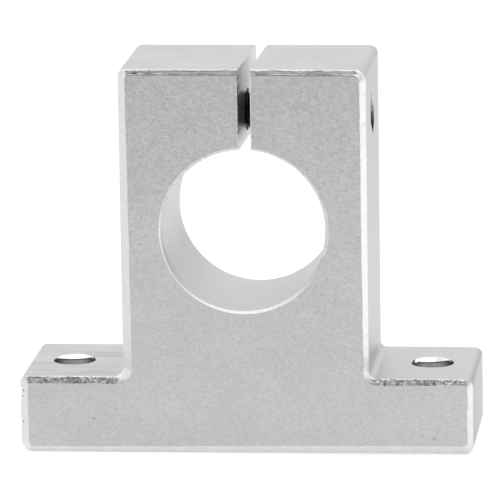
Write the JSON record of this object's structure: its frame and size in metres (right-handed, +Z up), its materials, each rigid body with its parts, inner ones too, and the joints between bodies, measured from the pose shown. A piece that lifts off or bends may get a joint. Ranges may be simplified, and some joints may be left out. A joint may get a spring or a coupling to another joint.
{
  "type": "shaft support block",
  "caption": "Aluminium support block with a split bore that a recessed screw clamps on a round shaft, on a flat foot with two bolt holes.",
  "frame": {"origin": "centre of the foot's underside", "axes": "+X along the foot from the screw's head side to its threaded side, +Y along the shaft, +Z up"},
  "size_m": [0.07, 0.024, 0.06],
  "materials": {
    "block_aluminium": "fine blasted faces, drawn sides, bright bevels",
    "screw_black_oxide": "black oxide, slightly oiled"
  },
  "bodies": {
    "support_block": {"support_block": "block_aluminium"},
    "clamp_screw": {"clamp_screw": "screw_black_oxide"}
  },
  "joints": [
    {"name": "clamp_screw_turn", "type": "hinge", "parent": "support_block", "child": "clamp_screw", "pos_m": [0, 0, 0.0519], "axis": [-1, 0, 0], "range_deg": [-360, 1080]}
  ]
}
